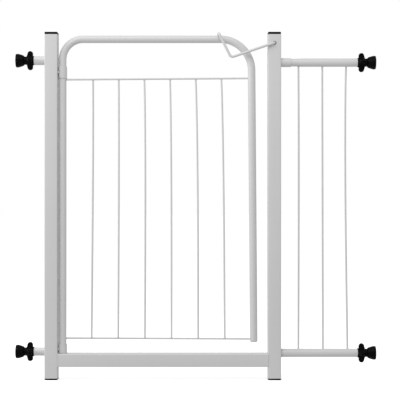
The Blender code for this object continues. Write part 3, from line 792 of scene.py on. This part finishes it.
class GATE_OT_caps(Operator):
    """Black caps on the ends of both posts"""

    bl_idname = "gate.caps"
    bl_label = "Post caps"

    def execute(self, context):
        tubes = context.scene.gate_tubes
        for side in ("left", "right"):
            for end, flange in (("top", tubes.cap_flange), ("bottom", tubes.foot_flange)):
                node = f"{side}_post_{end}_cap"
                low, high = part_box(node)
                tip, turn = (high[2], 0.0) if end == "top" else (low[2], math.pi)
                centre = middle(node)
                place = Matrix.Translation((centre.x, centre.y, tip))
                bm = skin(self.rings(span(node), flange, tubes), capped=True)
                bm = moved(bm, place @ Matrix.Rotation(turn, 4, "X"))
                add_piece(f"{side}_{end}_cap", bm, "black_plastic", "frame", [node])
        return {"FINISHED"}

    @staticmethod
    def rings(size, flange, tubes):
        """Rings of a top cap from its plug up to its face, which is at height 0."""
        side, corner, edge = size.x, tubes.corner, tubes.cap_edge
        plug = side - 2 * (tubes.wall + SEAT)
        rings = [square_ring(plug, CAP_CORNER, -size.z),
                 square_ring(plug, CAP_CORNER, -flange),
                 square_ring(side - 2 * CAP_CHAMFER, corner, -flange),
                 square_ring(side, corner, -flange + CAP_CHAMFER)]
        steps = 6
        for i in range(steps + 1):
            turn = math.pi / 2 * i / steps
            inset = edge * (1 - math.cos(turn))
            eased = max(corner - inset * CAP_SHRINK, CAP_CORNER)
            rings.append(square_ring(side - 2 * inset, eased, -edge * (1 - math.sin(turn))))
        rings.append(square_ring(side - 2 * edge - 2 * CAP_BORDER, CAP_CORNER, 0.0))
        return rings


class GATE_OT_sleeves(Operator):
    """Hinge sleeves and the beads that hold them to the left post"""

    bl_idname = "gate.sleeves"
    bl_label = "Hinge sleeves"

    def execute(self, context):
        door, welds = context.scene.gate_door, context.scene.gate_welds
        bore = span("hinge_leg_glide").x / 2 + door.sleeve_play
        for name in ("upper_sleeve", "lower_sleeve"):
            base, size = middle(name), span(name)
            base.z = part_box(name)[0][2]
            outer, tall = size.x / 2, size.z
            rim = (outer - bore) * SLEEVE_RIM
            outline = [(outer, tall, rim), (outer, 0, rim), (bore, 0, rim), (bore, tall, rim)]
            add_piece(f"{name}_ring", turned(outline, base, Z), "white_paint", "frame", [name])
            for face in ("front", "back"):
                node = f"{name}_{face}_weld"
                spot, reach = middle(node), span(node).z / 2
                path = straight(spot - Z * reach, spot + Z * reach, 24)
                bead = swept(path, rippled(path, welds.bead * SLEEVE_BEAD, welds), 14)
                add_piece(f"{name}_{face}_bead", bead, "white_paint", "frame", [node])
        return {"FINISHED"}


def ring_bead(place, along, radius, bead, welds):
    """A rippled weld bead all round a tube."""
    side = along.orthogonal().normalized()
    across = along.cross(side)
    count = 144
    turns = [math.tau * i / count for i in range(count)]
    path = [place + (side * math.cos(t) + across * math.sin(t)) * radius for t in turns]
    return swept(path, rippled(path, bead, welds, loop=True), 12, loop=True)


class GATE_OT_side_tubes(Operator):
    """Stubs on the left post and sockets on the right post, with their weld rings"""

    bl_idname = "gate.side_tubes"
    bl_label = "Stubs and sockets"

    def execute(self, context):
        tubes, welds = context.scene.gate_tubes, context.scene.gate_welds
        mouth = min(tubes.mouth, SIDE_WALL / 3)
        for name, side in (("left_upper_stub", -1), ("left_lower_stub", -1),
                           ("right_upper_socket", 1), ("right_lower_collar", 1)):
            low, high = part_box(name)
            base = middle(name)
            base.x, open_end = (high[0] + SEAT, low[0]) if side < 0 else (low[0] - SEAT, high[0])
            run = abs(base.x - open_end)
            outer = span(name).y / 2
            bore = outer - SIDE_WALL
            outline = [(outer, run, mouth), (outer, 0, 0), (bore, 0, 0), (bore, run, mouth)]
            bm = turned(outline, base, X * side)
            add_piece(f"{name}_tube", bm, "white_paint", "frame", [name])
            if name != "right_lower_collar":
                bead = ring_bead(base, X * side, outer + welds.ring / 4, welds.ring, welds)
                add_piece(f"{name}_weld", bead, "white_paint", "frame")
        return {"FINISHED"}


# ---- Door ----
def fused_wire(start, end, radius, welds, bow, rise):
    """A wire whose two ends swell where they are fused, bowed in X and most so above its middle."""
    run = end - start
    along = run.normalized()
    steps = 5
    flared = [(welds.flare_reach * i / steps, radius + welds.flare * (1 - i / steps) ** 2)
              for i in range(steps + 1)]
    head = [(start + along * reach, r) for reach, r in flared]
    tail = [(end - along * reach, r) for reach, r in reversed(flared)]
    body = [(p, radius) for p in straight(head[-1][0], tail[0][0], 32)[1:-1]]
    line = head + body + tail
    points = []
    for p, _ in line:
        fallen = min(1.0, max(0.0, (end - p).length / run.length))
        points.append(p + X * bow * math.sin(math.pi * fallen**rise))
    return swept(points, [r for _, r in line], 18)


def add_wire(name, node, axis, body, grip, bow=0.0):
    """A wire in place of a CAD wire, grip longer at each end to reach what it is fused to."""
    scene = bpy.context.scene
    start, end = end_middle(node, axis, -1), end_middle(node, axis, 1)
    more = (end - start).normalized() * grip
    bm = fused_wire(start - more, end + more, span(node).y / 2, scene.gate_welds, bow,
                    scene.gate_wires.bow_rise)
    add_piece(name, bm, "white_paint", body, [node])


class GATE_OT_door_frame(Operator):
    """Bent tube of the door, the plug in its free leg and the glide under its hinge leg"""

    bl_idname = "gate.door_frame"
    bl_label = "Door tube"

    def execute(self, context):
        door, tubes = context.scene.gate_door, context.scene.gate_tubes
        low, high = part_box("door_tube")
        radius = span("door_tube").y / 2
        hinge_x, top_z = low[0] + radius, high[2] - radius
        tip = end_middle("free_leg_tip", 2, -1)
        down = Vector((math.sin(door.splay), 0, -math.cos(door.splay)))
        free_top = tip - down * ((top_z - tip.z) / -down.z)
        seam = free_top + down * ((top_z - (tip.z + TIP_SHOWN)) / -down.z)
        corners = [((hinge_x, 0, low[2]), 0), ((hinge_x, 0, top_z), door.hinge_bend),
                   ((free_top.x, 0, top_z), door.free_bend), (seam, 0)]
        outer = swept(rounded_line(corners, step=math.radians(4)), radius, 40)
        ends = [f for f in outer.faces if len(f.verts) > 4]
        bmesh.ops.delete(outer, geom=ends, context="FACES_ONLY")
        blank = to_object("door_tube_shell", outer)
        shell = blank.modifiers.new("Wall", "SOLIDIFY")
        shell.thickness = tubes.wall
        shell.offset = -1.0
        tube = bpy.data.objects.new("door_bent_tube", softened(shaped(blank)))
        add_piece("door_bent_tube", tube, "white_paint", "door", ["door_tube"])
        self.add_tip(seam, down, radius, door, tip)
        self.add_glide(Vector((hinge_x, 0, low[2])), radius)
        return {"FINISHED"}

    @staticmethod
    def add_tip(seam, down, radius, door, tip):
        deep = (seam - tip).length
        plug = radius * END_PLUG
        outline = [(0, -TIP_DEPTH, 0), (plug, -TIP_DEPTH, 0), (plug, 0, 0), (radius, 0, 0),
                   (radius, deep, door.tip_edge), (0, deep, 0)]
        bm = turned(outline, seam, down, closed=False)
        add_piece("free_leg_plug", bm, "white_paint", "door", ["free_leg_tip"])

    @staticmethod
    def add_glide(seam, radius):
        low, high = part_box("hinge_leg_glide")
        deep, top = seam.z - low[2], seam.z - high[2]
        plug = radius * END_PLUG
        outline = [(0, top, 0), (plug, top, 0), (plug, GLIDE_GAP, 0), (radius, GLIDE_GAP, 0.0003),
                   (radius, deep, 0.0005), (0, deep, 0)]
        bm = turned(outline, seam, -Z, closed=False)
        add_piece("hinge_leg_foot", bm, "black_plastic", "door", ["hinge_leg_glide"])


class GATE_OT_door_wires(Operator):
    """Two cross wires and six upright wires of the door, fused where they meet"""

    bl_idname = "gate.door_wires"
    bl_label = "Door wires"

    def execute(self, context):
        for name in ("door_top_wire", "door_bottom_wire"):
            add_wire(f"{name}_rod", name, 0, "door", 2 * SEAT)
        for i, bow in enumerate(context.scene.gate_wires.door_bow, 1):
            add_wire(f"door_upright_{i}", f"door_wire_{i}", 2, "door", 2 * SEAT, bow)
        return {"FINISHED"}


# ---- Latch ----
class GATE_OT_latch(Operator):
    """Bent latch rod and the washer that keeps it in the post"""

    bl_idname = "gate.latch"
    bl_label = "Latch"

    def execute(self, context):
        latch = context.scene.gate_latch
        low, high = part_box("latch_rod")
        pivot = Vector(joint("latch_lift")["pos_m"])
        radius = self.rod_radius(pivot)
        tail_end = Vector((pivot.x, high[1], pivot.z))
        elbow = Vector((pivot.x, low[1] + radius, pivot.z))
        along = Vector((-math.cos(latch.slope), 0, -math.sin(latch.slope)))
        corner = elbow + along * latch.arm
        lean = Vector((-math.sin(latch.lean), 0, math.cos(latch.lean)))
        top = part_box("door_tube")[1][2] + latch.lift + radius
        over_front = corner + lean * ((top - corner.z) / lean.z)
        behind = span("door_tube").y / 2 + latch.back + radius
        over_back = Vector((over_front.x, behind, over_front.z))
        corners = [(tail_end, 0), (elbow, latch.stem_bend), (corner, latch.corner_bend),
                   (over_front, latch.hook_bend), (over_back, latch.hook_bend),
                   (over_back - lean * latch.tail, 0)]
        points = rounded_line(corners, step=math.radians(6))
        path, radii = eased_ends(points, radius, radius / 2)
        add_piece("latch_bent_rod", swept(path, radii), "white_paint", "latch", ["latch_rod"])
        self.add_washer(pivot, radius)
        return {"FINISHED"}

    @staticmethod
    def rod_radius(pivot):
        """Half the rod's thickness, read off the back of its CAD stem, the only part near the pivot."""
        places = [v.co for v in frame["nodes"]["latch_rod"].data.vertices]
        stem = [p.x for p in places if p.y > 0 and abs(p.x - pivot.x) < 0.01]
        return (max(stem) - min(stem)) / 2

    @staticmethod
    def add_washer(pivot, radius):
        """A dished washer, pushed onto the stem behind the post."""
        low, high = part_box("latch_washer")
        rim, thick = span("latch_washer").x / 2, high[1] - low[1]
        bore, soft = radius + 0.0001, 0.0003
        outline = [(rim, 0, soft), (rim, thick * 0.75, soft), (rim * 0.72, thick, soft),
                   (bore, thick, 0), (bore, thick * 0.35, 0), (rim * 0.68, 0.0002, soft)]
        bm = turned(outline, Vector((pivot.x, low[1], pivot.z)), Y, 40)
        add_piece("latch_push_washer", bm, "zinc_steel", "latch", ["latch_washer"])


# ---- Extension panel ----
class GATE_OT_extension(Operator):
    """Plug-in panel on the right: two tubes with reduced ends and three wires"""

    bl_idname = "gate.extension"
    bl_label = "Extension panel"

    def execute(self, context):
        tubes = context.scene.gate_tubes
        wall, mouth, taper, soft = tubes.wall, tubes.mouth, tubes.shoulder, tubes.shoulder * 0.35
        short, sharp = taper * 0.4, taper * 0.15
        for level, socket, shown, fall, ease in (
                ("upper", "right_upper_socket", tubes.neck_shown, taper, soft),
                ("lower", "right_lower_collar", 0.0, short, sharp)):
            name = f"extension_{level}_tube"
            low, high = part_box(name)
            outer, neck = span(name).y / 2, tubes.neck / 2
            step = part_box(socket)[1][0] + shown - low[0]
            run = high[0] - low[0]
            outline = [(outer, run, mouth), (outer, step + fall, ease), (neck, step, ease),
                       (neck, 0, mouth), (neck - wall, 0, mouth), (neck - wall, step, soft),
                       (outer - wall, step + taper, soft), (outer - wall, run, mouth)]
            bm = turned(outline, Vector((low[0], 0, middle(name).z)), X)
            add_piece(f"extension_{level}_rail", bm, "white_paint", "extension", [name])
        for i, bow in enumerate(context.scene.gate_wires.extension_bow, 1):
            add_wire(f"extension_upright_{i}", f"extension_wire_{i}", 2, "extension", 3 * SEAT, bow)
        return {"FINISHED"}


# ---- Wall feet ----
class GATE_OT_plugs(Operator):
    """Black plugs in the ends of the four side tubes"""

    bl_idname = "gate.plugs"
    bl_label = "Tube plugs"

    def execute(self, context):
        edge = context.scene.gate_feet.flange_edge
        for foot in FEET:
            node = f"{foot}_insert"
            place, along = tube_end(foot)
            size = span(node)
            rim, bore = size.y / 2, screw_bore(foot)
            out = max(abs(end[0]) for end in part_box(node)) - abs(place.x)
            deep, plug = size.x - out, rim - PLUG_STEP
            outline = [(rim, FLANGE_GAP, edge / 2), (rim, out, edge), (bore, out, edge / 2),
                       (bore, -deep, 0), (plug, -deep, PLUG_EASE), (plug, FLANGE_GAP, 0)]
            body = "frame" if foot.startswith("left") else "extension"
            bm = turned(outline, place, along)
            add_piece(f"{foot}_tube_plug", bm, "black_plastic", body, [node])
        return {"FINISHED"}


def lobe(feet, bore):
    """One lobe of a knob as a closed mesh: a round-ended plate that reaches out along local X."""
    radius, half = feet.lobe_end / 2, feet.lobe_thickness / 2
    reach, centre = feet.lobe_span / 2 - radius, feet.lobe_back + radius
    root = bore + LOBE_ROOT
    slices = []
    for place, shrink in LOBE_SLICES:
        offset, tip = half * place, radius - shrink
        ring = [Vector((root, offset, shrink * 0.5))]
        for k in range(17):
            a = math.pi * (k / 16 - 0.5)
            ring.append(Vector((reach + tip * math.cos(a), offset, centre + tip * math.sin(a))))
        ring.append(Vector((feet.hub / 2, offset, feet.lobe_base - shrink)))
        ring.append(Vector((root, offset, feet.lobe_base - shrink)))
        slices.append(ring)
    return skin(slices, capped=True)


def knob_mesh(feet, bore, total):
    """A four-lobed knob along local +Z: a waisted barrel and lobes blended into it."""
    hub = feet.hub / 2
    back, neck, waist, front, rim = KNOB_EASE
    outline = [(hub, 0, back), (hub, feet.lobe_base, neck),
               (hub - feet.barrel_waist, (feet.lobe_base + total) / 2, waist), (hub, total, front),
               (bore, total, rim), (bore, 0, rim)]
    shapes = [turned(outline, Vector(), Z, 64)]
    for quarter in range(4):
        shapes.append(moved(lobe(feet, bore), Matrix.Rotation(math.tau * quarter / 4, 4, "Z")))
    blank = to_object("knob_blank", merged(shapes))
    melt = blank.modifiers.new("Blend", "REMESH")
    melt.mode = "VOXEL"
    melt.voxel_size = feet.knob_grain
    ease = blank.modifiers.new("Ease", "SMOOTH")
    ease.factor = 0.5
    ease.iterations = 5
    mesh = shaped(blank)
    mesh.shade_smooth()
    return mesh


class GATE_OT_knobs(Operator):
    """Four-lobed knobs that turn the wall feet out"""

    bl_idname = "gate.knobs"
    bl_label = "Knobs"

    def execute(self, context):
        feet = context.scene.gate_feet
        shared = knob_mesh(feet, screw_bore("left_upper"), span("left_upper_knob").x)
        shared.materials.append(finish_of("black_plastic"))
        for foot in FEET:
            place, along = tube_end(foot)
            name = f"{foot}_lobed_knob"
            knob = bpy.data.objects.new(name, shared.copy())
            knob.data.transform(stood(place + along * feet.knob_start, along))
            add_piece(name, knob, "black_plastic", f"{foot}_knob_body", [f"{foot}_knob"])
        return {"FINISHED"}


def screw_mesh(radius, total, feet):
    """A threaded rod from local 0 to total along +Z. Its threads wind side by side."""
    sides = 32
    rows = round(total / THREAD_STEP)
    core = radius - feet.thread
    rings = []
    for i in range(rows + 1):
        z = total * i / rows
        fade = min(1.0, min(z, total - z) / THREAD_FADE)
        ring = []
        for k in range(sides):
            phase = (z / feet.lead - k / sides) * feet.starts % 1.0
            ridge = max(0.0, min(1.0, 1.6 - 4.2 * abs(phase - 0.5)))
            r = core + feet.thread * ridge * fade
            a = math.tau * k / sides
            ring.append(Vector((r * math.cos(a), r * math.sin(a), z)))
        rings.append(ring)
    return skin(rings, capped=True)


class GATE_OT_screws(Operator):
    """Threaded screws that carry the feet"""

    bl_idname = "gate.screws"
    bl_label = "Screws"

    def execute(self, context):
        for foot in FEET:
            node = f"{foot}_screw"
            place, along = tube_end(foot)
            size = span(node)
            place.x = min((end[0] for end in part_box(node)), key=abs)
            bm = moved(screw_mesh(size.y / 2, size.x, context.scene.gate_feet), stood(place, along))
            add_piece(f"{foot}_threaded_rod", bm, "zinc_steel", f"{foot}_screw_body", [node])
        return {"FINISHED"}


class GATE_OT_wall_feet(Operator):
    """Flared feet and the rubber pads that press on the wall"""

    bl_idname = "gate.wall_feet"
    bl_label = "Feet and pads"

    def execute(self, context):
        feet = context.scene.gate_feet
        for foot in FEET:
            place, along = tube_end(foot)
            body = f"{foot}_screw_body"
            start, stop = self.reach(f"{foot}_foot", place)
            outline = self.foot_outline(feet, foot, stop - start)
            bm = turned(outline, place + along * start, along, 64)
            add_piece(f"{foot}_flared_foot", bm, "black_plastic", body, [f"{foot}_foot"])
            start, stop = self.reach(f"{foot}_pad", place)
            start -= SEAT * 0.8
            outline = self.pad_outline(feet, span(f"{foot}_pad").y / 2, stop - start)
            bm = turned(outline, place + along * start, along, 64, closed=False)
            add_piece(f"{foot}_rubber_pad", bm, "black_rubber", body, [f"{foot}_pad"])
        return {"FINISHED"}

    @staticmethod
    def reach(node, place):
        """How far a piece starts and stops from the tube's end."""
        return sorted(abs(end[0] - place.x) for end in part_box(node))

    @staticmethod
    def foot_outline(feet, foot, total):
        back, face = feet.foot_back / 2, span(f"{foot}_foot").y / 2
        bore, recess = screw_bore(foot), total - FOOT_RECESS
        steps = 14
        outline = [(bore, 0, 0.0003), (back - 0.0004, 0, feet.foot_edge * 0.6)]
        for i in range(1, steps + 1):
            portion = i / steps
            outline.append((back + (face - back) * portion**feet.flare,
                            (total - feet.lip) * portion, 0))
        outline += [(face, total, 0.0005), (face - FOOT_RIM, total, 0.0002),
                    (face - FOOT_RIM - FOOT_RECESS, recess, 0), (bore, recess, 0)]
        return outline

    @staticmethod
    def pad_outline(feet, rim, deep):
        outline = [(0, 0, 0), (rim, 0, 0.0002), (rim, deep, 0.0006)]
        for ring in PAD_RINGS:
            for across, down in ((0.5, 0.0), (0.25, feet.groove), (-0.25, feet.groove), (-0.5, 0.0)):
                outline.append((rim * ring + PAD_GROOVE * across, deep - down, 0))
        outline.append((0, deep, 0))
        return outline


# ---- Stage ----
class GATE_OT_stage(Operator):
    """Pale floor, soft studio light and the camera"""

    bl_idname = "gate.stage"
    bl_label = "Stage"

    def execute(self, context):
        scene, stage = context.scene, context.scene.gate_stage
        self.add_camera(scene, stage)
        self.add_floor(stage)
        self.light_world(scene, stage)
        self.add_lamp("Softbox", stage.softbox, (1.8, 1.2), (-0.4, -1.3, 2.1), (0.0, 0.0, 0.45))
        self.add_lamp("Side lamp", stage.side_lamp, (0.5, 0.9), (-1.5, -0.12, 0.85), (0.0, 0.0, 0.5))
        scene.view_settings.view_transform = "Standard"
        return {"FINISHED"}

    @staticmethod
    def add_camera(scene, stage):
        camera = bpy.data.cameras.new("Camera")
        camera.sensor_width = 36.0
        camera.lens = camera.sensor_width * -stage.eye[1] / stage.view_width
        camera.clip_end = 100.0
        obj = bpy.data.objects.new("Camera", camera)
        obj.location = stage.eye
        obj.rotation_euler = (math.pi / 2, 0, 0)
        scene.collection.objects.link(obj)
        scene.camera = obj

    @staticmethod
    def add_floor(stage):
        bpy.ops.mesh.primitive_plane_add(size=60.0, location=(0, 0, CAD_BOX[0][2]))
        floor = bpy.context.object
        floor.name = "studio_floor"
        floor.visible_diffuse = False
        floor.visible_glossy = False
        constants = {"Base Color": stage.floor_shade, "Roughness": 0.9, "Specular IOR Level": 0.1,
                     "Emission Color": (1.0, 1.0, 1.0), "Emission Strength": stage.floor_glow}
        material, _, _ = new_material("Studio floor", constants)
        floor.data.materials.append(material)

    @staticmethod
    def light_world(scene, stage):
        """Studio surround: brighter from above than from eye level, and plain white to the camera."""
        world = bpy.data.worlds.new("Studio")
        world.use_nodes = True
        scene.world = world
        start = Wire(world.node_tree)
        way = start.node("ShaderNodeTexCoord").output("Generated")
        split = start.node("ShaderNodeSeparateXYZ", None, {0: way})
        height, side = split.output("Z"), split.output("X")
        upper = height.between(0.0, 1.0) * (stage.sky - stage.horizon)
        lower = (height * -1.0).between(0.0, 1.0) * (stage.ground - stage.horizon)
        glow = upper + lower - side * stage.hinge_side + stage.horizon
        seen = start.node("ShaderNodeLightPath").output("Is Camera Ray")
        back = world.node_tree.nodes["Background"]
        start.feed(back, "Color", (1.0, 1.0, 1.0))
        start.feed(back, "Strength", glow * (1 - seen) + seen)

    @staticmethod
    def add_lamp(name, power, size, place, target):
        light = bpy.data.lights.new(name, "AREA")
        light.shape = "RECTANGLE"
        light.size, light.size_y = size
        light.energy = power
        obj = bpy.data.objects.new(name, light)
        obj.location = place
        aim = Vector(target) - obj.location
        obj.rotation_euler = aim.to_track_quat("-Z", "Y").to_euler()
        bpy.context.scene.collection.objects.link(obj)


# ---- Sidebar ----
OPERATORS = (
    GATE_OT_posts, GATE_OT_rail, GATE_OT_caps, GATE_OT_sleeves, GATE_OT_side_tubes,
    GATE_OT_door_frame, GATE_OT_door_wires, GATE_OT_latch, GATE_OT_extension, GATE_OT_plugs,
    GATE_OT_knobs, GATE_OT_screws, GATE_OT_wall_feet, GATE_OT_stage,
)


class GATE_PT_sidebar(Panel):
    """Every step of the gate, with its sizes and colours"""

    bl_idname = "GATE_PT_sidebar"
    bl_label = "Pet Gate"
    bl_space_type = "VIEW_3D"
    bl_region_type = "UI"
    bl_category = "Pet Gate"

    def draw(self, context):
        layout = self.layout
        for operator in OPERATORS:
            layout.operator(operator.bl_idname)
        for name, group in GROUPS.items():
            box = layout.box()
            box.label(text=group.__doc__)
            for key in group.__annotations__:
                box.prop(getattr(context.scene, name), key)


def register():
    for name, group in GROUPS.items():
        bpy.utils.register_class(group)
        setattr(bpy.types.Scene, name, PointerProperty(type=group))
    for piece in (*OPERATORS, GATE_PT_sidebar):
        bpy.utils.register_class(piece)


def unregister():
    for piece in (GATE_PT_sidebar, *reversed(OPERATORS)):
        bpy.utils.unregister_class(piece)
    for name in reversed(GROUPS):
        delattr(bpy.types.Scene, name)
        bpy.utils.unregister_class(GROUPS[name])


def main():
    register()
    for operator in OPERATORS:
        family, step = operator.bl_idname.split(".")
        getattr(getattr(bpy.ops, family), step)()


if __name__ == "__main__":
    main()
